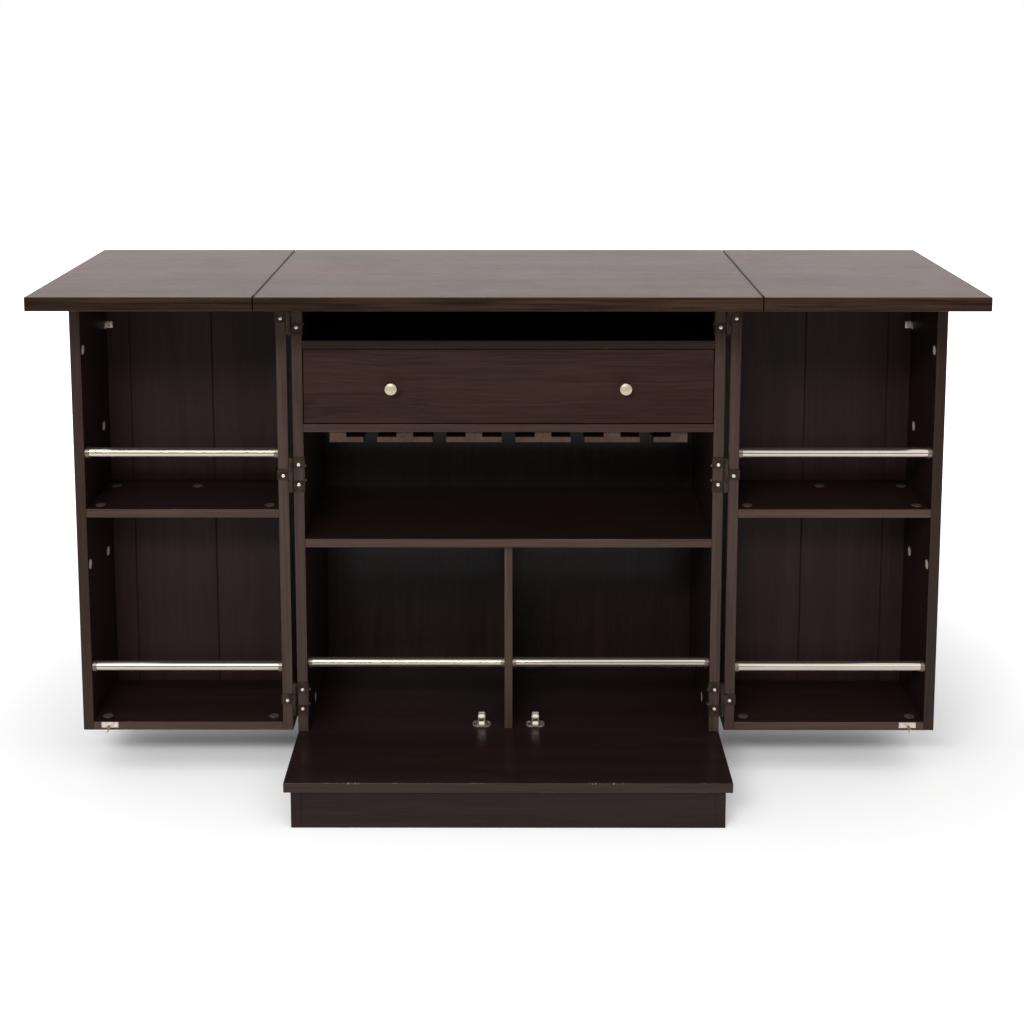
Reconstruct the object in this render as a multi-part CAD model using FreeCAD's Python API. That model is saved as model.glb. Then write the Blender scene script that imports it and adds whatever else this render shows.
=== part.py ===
import FreeCAD, Part
import math
import os

from FreeCAD import Vector

# Fold-out bar cabinet, open for serving, in millimetres.
# The origin is on the floor, under the middle of the top. +Z is up and -Y is the front.

# Whole cabinet
total_depth = 518.0
total_height = 940.0
platform_depth = 196.0
body_width = 778.0

# Boards
top_thick = 24.0
side_thick = 19.0
deck_thick = 18.0
shelf_thick = 16.0
board_thick = 15.0
body_back_thick = 6.0
board_round = 0.8
top_round = 1.5

# Plinth and body
plinth_height = 70.0
plinth_inset = 11.0
plinth_thick = 18.0
niche_clear = 91.0
upper_clear = 199.6
divider_setback = 12.0

# Stemware rails under the drawer board
stem_rail_count = 4
stem_slot = 25.0
stem_web_width = 30.0
stem_web_height = 10.5
stem_flange_thick = 9.5
stem_end_flange_width = 61.0
stem_side_gap = 46.5
stem_front_setback = 6.0
stem_rear_gap = 20.0

# Knobs, each held by a screw from inside
knob_radius = 11.0
knob_reach = 25.0
knob_foot_radius = 6.5
knob_foot_thick = 2.5
knob_neck_radius = 4.5
knob_neck_length = 8.0
knob_edge_height = 5.5
knob_screw_bite = 7.0

# Drawer
drawer_front_height = 136.0
drawer_front_thick = 19.0
drawer_front_round = 1.5
drawer_gap = 1.2
drawer_setback = 1.0
drawer_headroom = 29.4
drawer_rear_gap = 11.0
drawer_wall = 12.0
drawer_floor_thick = 5.0
drawer_floor_rise = 8.0
drawer_box_rise = 9.0
slide_space = 13.0
slide_height = 30.0
slide_wall = 1.5
slide_lip_gap = 2.0
slide_fit = 0.3
slide_setback = 24.0
slide_rear_gap = 17.0
knob_spacing = 420.0

# Wings
wing_gap = 9.0
wing_meet_gap = 2.0
wing_lift = 2.5
wing_top_gap = 0.4
wing_shut_gap = 4.0
wing_reveal = 3.0
wing_back_thick = 8.0
wing_shelf_drop = 65.0
groove_first = 62.0
groove_pitch = 157.0
groove_width = 3.2
groove_depth = 1.6
wing_knob_inset = 35.0
wing_knob_rise = 47.0

# Top leaves and the long hinges in their seams
centre_top_overhang = 34.0
leaf_overhang = 17.0
leaf_seam = 2.0
top_hinge_end_gap = 9.0
top_hinge_segments = 10
top_hinge_segment_gap = 0.3
top_hinge_plate = 0.8
top_hinge_plate_height = 18.0
top_hinge_knuckle_radius = 1.5
top_hinge_pin_radius = 0.7
top_hinge_axis_rise = 0.3
top_hinge_clearance = 0.4

# Bottle rails
rail_radius = 9.0
rail_setback = 13.0
centre_rail_setback = 24.0
centre_rail_rise = 124.0
wing_lower_rail_rise = 103.0
wing_upper_rail_rise = 102.5
socket_radius = 11.0
socket_length = 7.0
socket_wall = 2.0

# Wing hinges, three on each side
hinge_height = 65.0
hinge_plate = 1.5
hinge_barrel_clearance = 0.5
hinge_barrel_height = 63.0
hinge_middle_knuckle = 24.0
hinge_knuckle_gap = 0.3
hinge_pin_radius = 1.5
hinge_wrap = 20.0
hinge_top_drop = 48.0
hinge_middle_rise = 121.0
hinge_bottom_rise = 63.0
hinge_wing_tab = 19.6
hinge_front_screw_spread = 37.0
hinge_screw_stagger = 4.7
hinge_wing_screw_offset = 2.2

# Running fit of pins, shafts and rails in their holes
running_fit = 0.05

# Screws
screw_head_radius = 3.0
screw_head_height = 1.4
screw_head_round = 0.6
screw_shank_radius = 1.7
screw_length = 15.0

# Roller catches on the deck
catch_offset = 50.0
catch_setback = 20.0
catch_plate_width = 34.0
catch_plate_depth = 23.0
catch_plate_thick = 1.5
catch_plate_lead = 1.0
catch_screw_spread = 24.0
catch_cheek = 1.2
catch_cheek_depth = 17.0
catch_cheek_lead = 3.0
catch_cheek_height = 22.5
roller_lift = 0.4
roller_radius = 4.0
roller_length = 10.0
roller_end_gap = 0.3
axle_radius = 1.0

# Strikes on the wings
strike_width = 31.0
strike_height = 10.4
strike_thick = 1.2
strike_screw_spread = 21.0
spear_past_rollers = 5.2
spear_clearance = 0.3
spear_width = 5.0
spear_neck = 3.0
spear_head = 5.4
spear_tip = 2.0
spear_head_start_share = 0.68
spear_head_rise_share = 0.79
spear_head_fall_share = 0.93

# Caps over the fittings
cap_radius = 9.0
cap_thick = 0.8
cap_round = 0.4
wing_cap_front_setback = 13.0
wing_cap_rear_gap = 43.0
wing_cap_edge_inset = 20.0
wing_upper_cap_shares = (0.755, 0.305)
wing_lower_cap_shares = (0.764, 0.713)
floor_cap_setback = 24.0
shelf_cap_rear_gap = 40.0
body_cap_setback = 104.0
body_cap_rise = 20.0

# Planes and levels that follow from the sizes above
half_depth = total_depth / 2
body_half = body_width / 2
body_inner = body_half - side_thick
platform_front = -half_depth
body_front = platform_front + platform_depth
body_rear = half_depth
back_face = body_rear - body_back_thick
deck_top = plinth_height + deck_thick
top_under = total_height - top_thick
niche_floor_top = top_under - niche_clear
niche_floor_under = niche_floor_top - board_thick
rack_board_top = niche_floor_under - drawer_front_height - 2 * drawer_gap
rack_board_under = rack_board_top - board_thick
middle_shelf_top = rack_board_under - upper_clear
middle_shelf_under = middle_shelf_top - shelf_thick
wing_inner = body_half + wing_gap
wing_outer = body_width + wing_gap - wing_meet_gap / 2
wing_depth = platform_depth - wing_shut_gap - wing_reveal
wing_rear = body_front + wing_depth
wing_back_face = wing_rear - wing_back_thick
wing_clear_inner = wing_inner + side_thick
wing_clear_outer = wing_outer - side_thick
hinge_middle = middle_shelf_top + hinge_middle_rise
hinge_levels = (deck_top + hinge_bottom_rise, hinge_middle, top_under - hinge_top_drop)
wing_bottom = deck_top + wing_lift
wing_top = top_under - wing_top_gap
wing_floor_top = wing_bottom + shelf_thick
wing_shelf_top = hinge_middle - wing_shelf_drop
wing_shelf_under = wing_shelf_top - shelf_thick
wing_top_under = wing_top - shelf_thick
hinge_axis_x = body_half + wing_gap / 2
hinge_axis_y = body_front - wing_shut_gap / 2
hinge_barrel_radius = wing_gap / 2 - hinge_barrel_clearance
hinge_wrap_screw_spread = hinge_front_screw_spread - 2 * hinge_screw_stagger
seam_x = body_half + centre_top_overhang
leaf_inner = seam_x + leaf_seam
leaf_outer = wing_outer + leaf_overhang
top_hinge_length = total_depth - 2 * top_hinge_end_gap
top_hinge_x = seam_x + leaf_seam / 2
top_hinge_z = total_height + top_hinge_axis_rise
catch_mouth = spear_head + 2 * spear_clearance
strike_x = 2 * hinge_axis_x - catch_offset
strike_z = deck_top + catch_plate_thick + roller_lift + 2 * roller_radius + catch_mouth / 2
spear_reach = catch_setback + spear_past_rollers + wing_shut_gap - strike_thick
catch_y = body_front + catch_setback
catch_plate_front = catch_y - catch_plate_lead
catch_cheek_front = catch_y - catch_cheek_lead
drawer_outer = body_inner - slide_space
drawer_front_face = body_front + drawer_setback
drawer_front_back = drawer_front_face + drawer_front_thick
drawer_under = rack_board_top + drawer_box_rise
drawer_box_top = niche_floor_under - drawer_headroom
drawer_rear = back_face - drawer_rear_gap
slide_level = (drawer_under + drawer_box_top) / 2

X = Vector(1, 0, 0)
Y = Vector(0, 1, 0)
Z = Vector(0, 0, 1)


# Helpers

def block(x_low, x_high, y_low, y_high, z_low, z_high):
    """A sharp-edged block between six planes."""
    corner = Vector(x_low, y_low, z_low)
    return Part.makeBox(x_high - x_low, y_high - y_low, z_high - z_low, corner)


def board(x_low, x_high, y_low, y_high, z_low, z_high, edge_round=board_round):
    """A board with all its edges eased."""
    plain = block(x_low, x_high, y_low, y_high, z_low, z_high)
    return plain.makeFillet(edge_round, plain.Edges)


def rod(radius, start, direction, length):
    return Part.makeCylinder(radius, length, start, direction)


def mirrored(shape):
    """The same piece on the other side of the cabinet."""
    return shape.mirror(Vector(0, 0, 0), X)


def both_sides(shapes):
    """The pieces of the right side followed by their mirror images on the left."""
    return list(shapes) + [mirrored(shape) for shape in shapes]


def save(name, shapes):
    solids = [solid for shape in shapes for solid in shape.Solids]
    result = solids[0] if len(solids) == 1 else Part.makeCompound(solids)
    result.exportStep("parts/" + name + ".step")
    print(name, len(solids), "solids", round(sum(solid.Volume for solid in solids)))


# Screws: each place is the point where the head seats and the way the screw goes in

def screw(place, length=screw_length):
    point, inward = place
    head = rod(screw_head_radius, point, inward * -1, screw_head_height)
    rim = [edge for edge in head.Edges if is_head_rim(edge, point, inward)]
    head = head.makeFillet(screw_head_round, rim)
    shank = rod(screw_shank_radius, point, inward, length)
    return head.fuse(shank).removeSplitter()


def is_head_rim(edge, point, inward):
    """Whether an edge of a screw's head is the circle that faces outwards."""
    if not hasattr(edge.Curve, "Radius"):
        return False
    middle = edge.Curve.Center
    return (middle - point).dot(inward * -1) > screw_head_height / 2


def drilled(shape, places, length=screw_length):
    """The piece with a hole for each screw, from its seat to just past its end."""
    for point, inward in places:
        hole = rod(screw_shank_radius + running_fit, point, inward, length + running_fit)
        shape = shape.cut(hole)
    return shape


def hinge_body_screws():
    """Places on the right body side: two on the front tabs and two on the inner face, per hinge."""
    front_x = body_half - side_thick / 2
    front_y = body_front - hinge_plate
    wrap_x = body_inner - hinge_plate
    wrap_y = body_front + hinge_wrap / 2
    places = []
    for level in hinge_levels:
        for sign in (-1, 1):
            front_z = level + sign * hinge_front_screw_spread / 2
            wrap_z = level + sign * hinge_wrap_screw_spread / 2
            places.append((Vector(front_x, front_y, front_z), Y))
            places.append((Vector(wrap_x, wrap_y, wrap_z), X))
    return places


def hinge_wing_screws():
    """Places on the right wing's inner side: one on the tab and one on the inner face, per hinge."""
    front_x = wing_inner + side_thick / 2
    front_y = body_front - hinge_plate
    wrap_x = wing_clear_inner + hinge_plate
    wrap_y = body_front + hinge_wrap / 2
    places = []
    for level in hinge_levels:
        places.append((Vector(front_x, front_y, level - hinge_wing_screw_offset), Y))
        places.append((Vector(wrap_x, wrap_y, level + hinge_wing_screw_offset), X * -1))
    return places


def catch_screws():
    """Places on the right roller catch's base plate."""
    top = deck_top + catch_plate_thick
    place_y = catch_plate_front + catch_plate_depth / 2
    places = []
    for sign in (-1, 1):
        place_x = catch_offset + sign * catch_screw_spread / 2
        places.append((Vector(place_x, place_y, top), Z * -1))
    return places


def strike_screws():
    """Places on the right wing's strike plate."""
    face = body_front - strike_thick
    places = []
    for sign in (-1, 1):
        place_x = strike_x + sign * strike_screw_spread / 2
        places.append((Vector(place_x, face, strike_z), Y))
    return places


# Knobs: each place is the point where the foot seats and the way the knob stands out

def drawer_knob_places():
    z = rack_board_top + drawer_gap + drawer_front_height / 2
    return [(Vector(side * knob_spacing / 2, drawer_front_face, z), Y * -1) for side in (1, -1)]


def wing_knob_places():
    """On the outside of the right wing, near its free edge."""
    return [(Vector(wing_outer - wing_knob_inset, wing_rear, wing_shelf_top + wing_knob_rise), Y)]


def knob_screw_places(places, board_thickness):
    """The screw's seat on the board's other face, and its way into the knob."""
    return [(point - outward * board_thickness, outward) for point, outward in places]


def knob(place, board_thickness):
    """A turned knob: foot, neck, flared head and a dome that is part of a ball."""
    point, outward = place
    neck_end = knob_foot_thick + knob_neck_length
    rim_reach = neck_end + knob_edge_height
    profile = [
        (0, 0),
        (0, knob_foot_radius),
        (knob_foot_thick, knob_foot_radius),
        (knob_foot_thick, knob_neck_radius),
        (neck_end, knob_neck_radius),
        (rim_reach, knob_radius),
    ]
    corners = [point + outward * reach + Z * radius for reach, radius in profile]
    dome_height = knob_reach - rim_reach
    ball_radius = (knob_radius ** 2 + dome_height ** 2) / (2 * dome_height)
    ball_centre = point + outward * (knob_reach - ball_radius)
    half_angle = math.atan2(knob_radius, ball_radius - dome_height) / 2
    crown = ball_centre + (outward * math.cos(half_angle) + Z * math.sin(half_angle)) * ball_radius
    tip = point + outward * knob_reach
    edges = [Part.LineSegment(start, end).toShape() for start, end in zip(corners, corners[1:])]
    edges.append(Part.Arc(corners[-1], crown, tip).toShape())
    edges.append(Part.LineSegment(tip, corners[0]).toShape())
    turned = Part.Face(Part.Wire(edges)).revolve(point, Y, math.degrees(2 * math.pi))
    length = board_thickness + knob_screw_bite
    return drilled(turned, knob_screw_places([place], board_thickness), length)


def knobs_with_screws(places, board_thickness):
    length = board_thickness + knob_screw_bite
    screws = [screw(place, length) for place in knob_screw_places(places, board_thickness)]
    return [knob(place, board_thickness) for place in places] + screws


# Plinth, deck and body boards

def plinth_front():
    half = body_half - plinth_inset - plinth_thick
    front = platform_front + plinth_inset
    return board(-half, half, front, front + plinth_thick, 0, plinth_height)


def plinth_rear():
    half = body_half - plinth_inset - plinth_thick
    rear = body_rear - plinth_inset
    return board(-half, half, rear - plinth_thick, rear, 0, plinth_height)


def plinth_side():
    outer = body_half - plinth_inset
    front = platform_front + plinth_inset
    rear = body_rear - plinth_inset
    return board(outer - plinth_thick, outer, front, rear, 0, plinth_height)


def deck():
    plain = board(-body_half, body_half, platform_front, body_rear, plinth_height, deck_top, top_round)
    places = catch_screws()
    mirror_places = [(Vector(-point.x, point.y, point.z), inward) for point, inward in places]
    return drilled(plain, places + mirror_places)


def body_side():
    plain = board(body_inner, body_half, body_front, body_rear, deck_top, top_under)
    return drilled(plain, hinge_body_screws())


def body_back():
    return board(-body_inner, body_inner, back_face, body_rear, deck_top, top_under)


def body_shelf(under, thick):
    return board(-body_inner, body_inner, body_front, back_face, under, under + thick)


def divider():
    front = body_front + divider_setback
    half = board_thick / 2
    return board(-half, half, front, back_face, deck_top, middle_shelf_under)


def centre_top():
    plain = board(-seam_x, seam_x, -half_depth, half_depth, top_under, total_height, top_round)
    for side in (-1, 1):
        plain = plain.cut(seam_cove(side))
    return plain


# Stemware rails: T-shaped strips with a half strip at each end

def stem_rail(web_low, web_high, flange_low, flange_high):
    front = body_front + stem_front_setback
    rear = back_face - stem_rear_gap
    web_under = rack_board_under - stem_web_height
    flange_under = web_under - stem_flange_thick
    web = block(web_low, web_high, front, rear, web_under, rack_board_under)
    flange = block(flange_low, flange_high, front, rear, flange_under, web_under)
    return flange.fuse(web).removeSplitter()


def stem_rails():
    end = body_inner - stem_side_gap
    end_flange = end - stem_end_flange_width
    pitch = (2 * end_flange - stem_slot) / stem_rail_count
    half_web = stem_web_width / 2
    half_flange = (pitch - stem_slot) / 2
    rails = []
    for index in range(stem_rail_count):
        middle = (index - (stem_rail_count - 1) / 2) * pitch
        rails.append(stem_rail(middle - half_web, middle + half_web,
                               middle - half_flange, middle + half_flange))
    end_rail = stem_rail(end - stem_web_width, end, end_flange, end)
    return rails + both_sides([end_rail])


# Bottle rails: round bars held at each end in a cup

def socket(face_x, way, y, z):
    """A cup on a board's face at face_x, opening along way, which is 1 or -1."""
    direction = X * way
    cup = rod(socket_radius, Vector(face_x, y, z), direction, socket_length)
    bore_start = Vector(face_x + way * socket_wall, y, z)
    bore = rod(rail_radius + running_fit, bore_start, direction, socket_length)
    return cup.cut(bore)


def bottle_rail(low_x, high_x, y, z):
    """A bar between two facing boards, seated at the bottom of both cups."""
    start = Vector(low_x + socket_wall, y, z)
    return rod(rail_radius, start, X, high_x - low_x - 2 * socket_wall)


def body_rail_place():
    return board_thick / 2, body_inner, body_front + centre_rail_setback, deck_top + centre_rail_rise


def wing_rail_places():
    y = body_front + rail_setback
    lower = wing_floor_top + wing_lower_rail_rise
    upper = wing_shelf_top + wing_upper_rail_rise
    return [(wing_clear_inner, wing_clear_outer, y, level) for level in (lower, upper)]


def sockets(place):
    low_x, high_x, y, z = place
    return [socket(low_x, 1, y, z), socket(high_x, -1, y, z)]


# Wings, drawn on the right side

def wing_inner_side():
    plain = board(wing_inner, wing_clear_inner, body_front, wing_rear, wing_bottom, wing_top)
    return drilled(plain, hinge_wing_screws())


def wing_outer_side():
    return board(wing_clear_outer, wing_outer, body_front, wing_rear, wing_bottom, wing_top)


def wing_level(under):
    """A shelf of the wing, between its sides and in front of its back."""
    return board(wing_clear_inner, wing_clear_outer, body_front, wing_back_face, under, under + shelf_thick)


def wing_floor():
    return drilled(wing_level(wing_bottom), strike_screws())


def groove_tool(x, face, way):
    """A V-shaped bar that cuts one upright groove into a face looking along way."""
    points = [
        Vector(x - groove_width / 2, face, wing_bottom),
        Vector(x, face - way * groove_depth, wing_bottom),
        Vector(x + groove_width / 2, face, wing_bottom),
    ]
    outline = Part.makePolygon(points + [points[0]])
    return Part.Face(outline).extrude(Z * (wing_top - wing_bottom))


def wing_back():
    plain = board(wing_clear_inner, wing_clear_outer, wing_back_face, wing_rear, wing_bottom, wing_top)
    x = wing_outer - groove_first
    while x > wing_clear_inner + groove_width:
        plain = plain.cut(groove_tool(x, wing_back_face, -1))
        plain = plain.cut(groove_tool(x, wing_rear, 1))
        x -= groove_pitch
    screws = knob_screw_places(wing_knob_places(), wing_back_thick)
    return drilled(plain, screws, wing_back_thick + knob_screw_bite)


# Wing hinges: a body leaf with two tabs, a wing leaf with one, and a pin

def upright_rod(radius, low_z, high_z):
    """A rod on the right wing's hinge axis."""
    return rod(radius, Vector(hinge_axis_x, hinge_axis_y, low_z), Z, high_z - low_z)


def hinge_pin(level, clearance=0):
    """The pin of one hinge, or with a clearance the bore that it runs in."""
    half = hinge_barrel_height / 2
    return upright_rod(hinge_pin_radius + clearance, level - half, level + half)


def body_hinge_leaf(level):
    """Two front tabs joined by a plate that wraps onto the side's inner face."""
    half = hinge_height / 2
    knuckle_start = hinge_middle_knuckle / 2 + hinge_knuckle_gap
    plate_front = body_front - hinge_plate
    leaf = block(body_inner - hinge_plate, body_inner, plate_front, body_front + hinge_wrap,
                 level - half, level + half)
    for sign in (-1, 1):
        low, high = sorted((level + sign * knuckle_start, level + sign * half))
        tab = block(body_inner - hinge_plate, hinge_axis_x, plate_front, body_front, low, high)
        low, high = sorted((level + sign * knuckle_start, level + sign * hinge_barrel_height / 2))
        leaf = leaf.fuse(tab).fuse(upright_rod(hinge_barrel_radius, low, high))
    leaf = leaf.cut(hinge_pin(level, running_fit)).removeSplitter()
    return drilled(leaf, hinge_body_screws())


def wing_hinge_leaf(level):
    """One front tab that lies between the body leaf's tabs, with its own short wrap."""
    half = hinge_wing_tab / 2
    barrel_half = hinge_middle_knuckle / 2
    plate_front = body_front - hinge_plate
    tab = block(hinge_axis_x, wing_clear_inner + hinge_plate, plate_front, body_front,
                level - half, level + half)
    wrap = block(wing_clear_inner, wing_clear_inner + hinge_plate, plate_front,
                 body_front + hinge_wrap, level - half, level + half)
    knuckle = upright_rod(hinge_barrel_radius, level - barrel_half, level + barrel_half)
    leaf = tab.fuse(wrap).fuse(knuckle).cut(hinge_pin(level, running_fit)).removeSplitter()
    return drilled(leaf, hinge_wing_screws())


# Top leaves and their long hinges

def seam_cove(side):
    """The round cut that clears the long hinge's knuckles, along one seam."""
    radius = top_hinge_knuckle_radius + top_hinge_clearance
    start = Vector(side * top_hinge_x, -half_depth, top_hinge_z)
    return rod(radius, start, Y, total_depth)


def top_leaf():
    plain = board(leaf_inner, leaf_outer, -half_depth, half_depth, top_under, total_height, top_round)
    return plain.cut(seam_cove(1))


def top_hinge_half(edge_x, plate_way, first):
    """A long plate against a board's edge, with every second knuckle of the hinge."""
    segment = top_hinge_length / top_hinge_segments
    clear = top_hinge_knuckle_radius + top_hinge_clearance
    low_x, high_x = sorted((edge_x, edge_x + plate_way * top_hinge_plate))
    start = -top_hinge_length / 2
    under = top_hinge_z - clear - top_hinge_plate_height
    half = block(low_x, high_x, start, -start, under, top_hinge_z - clear)
    for index in range(first, top_hinge_segments, 2):
        low_y = start + index * segment + top_hinge_segment_gap / 2
        length = segment - top_hinge_segment_gap
        neck = block(low_x, high_x, low_y, low_y + length, top_hinge_z - clear, top_hinge_z)
        knuckle = rod(top_hinge_knuckle_radius, Vector(top_hinge_x, low_y, top_hinge_z), Y, length)
        half = half.fuse(neck).fuse(knuckle)
    bore = rod(top_hinge_pin_radius + running_fit, Vector(top_hinge_x, start, top_hinge_z), Y,
               top_hinge_length)
    return half.cut(bore).removeSplitter()


def top_hinge_pin():
    start = Vector(top_hinge_x, -top_hinge_length / 2, top_hinge_z)
    return rod(top_hinge_pin_radius, start, Y, top_hinge_length)


# Drawer

def drawer_front():
    half = body_inner - drawer_gap
    low = rack_board_top + drawer_gap
    plain = board(-half, half, drawer_front_face, drawer_front_back, low, low + drawer_front_height,
                  drawer_front_round)
    screws = knob_screw_places(drawer_knob_places(), drawer_front_thick)
    return drilled(plain, screws, drawer_front_thick + knob_screw_bite)


def drawer_side():
    return board(drawer_outer - drawer_wall, drawer_outer, drawer_front_back, drawer_rear, drawer_under,
                 drawer_box_top)


def drawer_back():
    half = drawer_outer - drawer_wall
    return board(-half, half, drawer_rear - drawer_wall, drawer_rear, drawer_under, drawer_box_top)


def drawer_floor():
    half = drawer_outer - drawer_wall
    low = drawer_under + drawer_floor_rise
    return block(-half, half, drawer_front_back, drawer_rear - drawer_wall, low, low + drawer_floor_thick)


def slide_profile(web_low, web_high, lip_low, lip_high, height):
    """A C-shaped runner: an upright web with a lip along its top and bottom."""
    front = body_front + slide_setback
    rear = back_face - slide_rear_gap
    low = slide_level - height / 2
    high = slide_level + height / 2
    web = block(web_low, web_high, front, rear, low, high)
    lower_lip = block(lip_low, lip_high, front, rear, low, low + slide_wall)
    upper_lip = block(lip_low, lip_high, front, rear, high - slide_wall, high)
    return web.fuse([lower_lip, upper_lip]).removeSplitter()


def slide_channel():
    return slide_profile(body_inner - slide_wall, body_inner, drawer_outer + slide_lip_gap, body_inner,
                         slide_height)


def slide_runner():
    height = slide_height - 2 * slide_wall - 2 * slide_fit
    reach = body_inner - slide_wall - slide_fit
    return slide_profile(drawer_outer, drawer_outer + slide_wall, drawer_outer, reach, height)


# Roller catches and strikes

def roller_levels():
    rise = roller_radius + catch_mouth / 2
    return {"lower": strike_z - rise, "upper": strike_z + rise}


def catch_housing():
    """A base plate with two ears, two cheeks, a rear wall and the rollers' axles."""
    inner = roller_length / 2 + roller_end_gap
    outer = inner + catch_cheek
    cheek_rear = catch_cheek_front + catch_cheek_depth
    plate_top = deck_top + catch_plate_thick
    cheek_top = deck_top + catch_cheek_height
    plate = block(catch_offset - catch_plate_width / 2, catch_offset + catch_plate_width / 2,
                  catch_plate_front, catch_plate_front + catch_plate_depth, deck_top, plate_top)
    uprights = [edge for edge in plate.Edges if abs(edge.tangentAt(edge.FirstParameter).z) > 0]
    plate = plate.makeFillet(catch_plate_depth / 3, uprights)
    housing = plate
    for sign in (-1, 1):
        low, high = sorted((catch_offset + sign * inner, catch_offset + sign * outer))
        housing = housing.fuse(block(low, high, catch_cheek_front, cheek_rear, deck_top, cheek_top))
    housing = housing.fuse(block(catch_offset - outer, catch_offset + outer, cheek_rear - catch_cheek,
                                 cheek_rear, deck_top, cheek_top))
    for level in roller_levels().values():
        housing = housing.fuse(rod(axle_radius, Vector(catch_offset - outer, catch_y, level), X, 2 * outer))
    return drilled(housing.removeSplitter(), catch_screws())


def roller(level):
    start = Vector(catch_offset - roller_length / 2, catch_y, level)
    body = rod(roller_radius, start, X, roller_length)
    return body.cut(rod(axle_radius + running_fit, start, X, roller_length))


def strike():
    """A plate on the wing floor's front edge with a spear that snaps between the rollers."""
    face = body_front - strike_thick
    plate = block(strike_x - strike_width / 2, strike_x + strike_width / 2, face, body_front,
                  strike_z - strike_height / 2, strike_z + strike_height / 2)
    low_x = strike_x - spear_width / 2
    stations = [
        (0, spear_neck),
        (spear_head_start_share, spear_neck),
        (spear_head_rise_share, spear_head),
        (spear_head_fall_share, spear_head),
        (1, spear_tip),
    ]
    upper = [Vector(low_x, face - share * spear_reach, strike_z + height / 2) for share, height in stations]
    lower = [Vector(low_x, point.y, 2 * strike_z - point.z) for point in reversed(upper)]
    points = upper + lower
    spear = Part.Face(Part.makePolygon(points + [points[0]])).extrude(X * spear_width)
    return drilled(plate.fuse(spear).removeSplitter(), strike_screws())


# Caps over the fittings

def cap(point, outward):
    disc = rod(cap_radius, point, outward, cap_thick)
    rim = [edge for edge in disc.Edges
           if hasattr(edge.Curve, "Radius") and (edge.Curve.Center - point).dot(outward) > cap_thick / 2]
    return disc.makeFillet(cap_round, rim)


def body_caps():
    point = Vector(body_inner, body_front + body_cap_setback, deck_top + body_cap_rise)
    return [cap(point, X * -1)]


def wing_caps():
    caps = []
    cap_ys = (body_front + wing_cap_front_setback, wing_back_face - wing_cap_rear_gap)
    spaces = (
        (wing_shelf_top, wing_top_under, wing_upper_cap_shares),
        (wing_floor_top, wing_shelf_under, wing_lower_cap_shares),
    )
    for low, high, shares in spaces:
        for y, share in zip(cap_ys, shares):
            caps.append(cap(Vector(wing_clear_outer, y, low + share * (high - low)), X * -1))
    near_x = wing_clear_inner + wing_cap_edge_inset
    far_x = wing_clear_outer - wing_cap_edge_inset
    middle_x = (wing_clear_inner + wing_clear_outer) / 2
    for x in (near_x, far_x):
        caps.append(cap(Vector(x, body_front + floor_cap_setback, wing_floor_top), Z))
        caps.append(cap(Vector(x, body_front + floor_cap_setback, wing_shelf_top), Z))
    for x in (middle_x, far_x):
        caps.append(cap(Vector(x, wing_back_face - shelf_cap_rear_gap, wing_shelf_top), Z))
    return caps


def body_nodes():
    """Every piece that stays with the centre body."""
    rail_place = body_rail_place()
    hinge_leaves = [body_hinge_leaf(level) for level in hinge_levels]
    pins = [hinge_pin(level) for level in hinge_levels] + [top_hinge_pin()]
    body_screws = [screw(place) for place in hinge_body_screws() + catch_screws()]
    return {
        "plinth_rails": [plinth_front(), plinth_rear()],
        "plinth_sides": both_sides([plinth_side()]),
        "deck": [deck()],
        "body_sides": both_sides([body_side()]),
        "body_back": [body_back()],
        "niche_floor": [body_shelf(niche_floor_under, board_thick)],
        "drawer_board": [body_shelf(rack_board_under, board_thick)],
        "middle_shelf": [body_shelf(middle_shelf_under, shelf_thick)],
        "divider": [divider()],
        "centre_top": [centre_top()],
        "stemware_rails": stem_rails(),
        "body_bottle_rails": both_sides([bottle_rail(*rail_place)]),
        "body_rail_sockets": both_sides(sockets(rail_place)),
        "slide_channels": both_sides([slide_channel()]),
        "catch_housings": both_sides([catch_housing()]),
        "body_hinge_leaves": both_sides(hinge_leaves),
        "hinge_pins": both_sides(pins),
        "body_screws": both_sides(body_screws),
        "top_hinge_fixed_leaves": both_sides([top_hinge_half(seam_x, 1, 0)]),
        "body_caps": both_sides(body_caps()),
    }


def wing_nodes():
    """Every piece of the right wing."""
    rail_places = wing_rail_places()
    screws = [screw(place) for place in hinge_wing_screws() + strike_screws()]
    return {
        "wing_inner_side": [wing_inner_side()],
        "wing_outer_side": [wing_outer_side()],
        "wing_top": [wing_level(wing_top_under)],
        "wing_shelf": [wing_level(wing_shelf_under)],
        "wing_floor": [wing_floor()],
        "wing_back": [wing_back()],
        "wing_bottle_rails": [bottle_rail(*place) for place in rail_places],
        "wing_rail_sockets": [piece for place in rail_places for piece in sockets(place)],
        "wing_hinge_leaves": [wing_hinge_leaf(level) for level in hinge_levels],
        "wing_screws": screws,
        "wing_caps": wing_caps(),
        "wing_strike": [strike()],
        "wing_knob": knobs_with_screws(wing_knob_places(), wing_back_thick),
        "top_leaf": [top_leaf()],
        "top_leaf_hinge": [top_hinge_half(leaf_inner, -1, 1)],
    }


def drawer_nodes():
    return {
        "drawer_front": [drawer_front()],
        "drawer_sides": both_sides([drawer_side()]),
        "drawer_back": [drawer_back()],
        "drawer_floor": [drawer_floor()],
        "drawer_knobs": knobs_with_screws(drawer_knob_places(), drawer_front_thick),
        "drawer_runners": both_sides([slide_runner()]),
    }


os.makedirs("parts", exist_ok=True)

for name, shapes in body_nodes().items():
    save(name, shapes)

for name, shapes in wing_nodes().items():
    save("right_" + name, shapes)
    save("left_" + name, [mirrored(shape) for shape in shapes])

for name, shapes in drawer_nodes().items():
    save(name, shapes)

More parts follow.
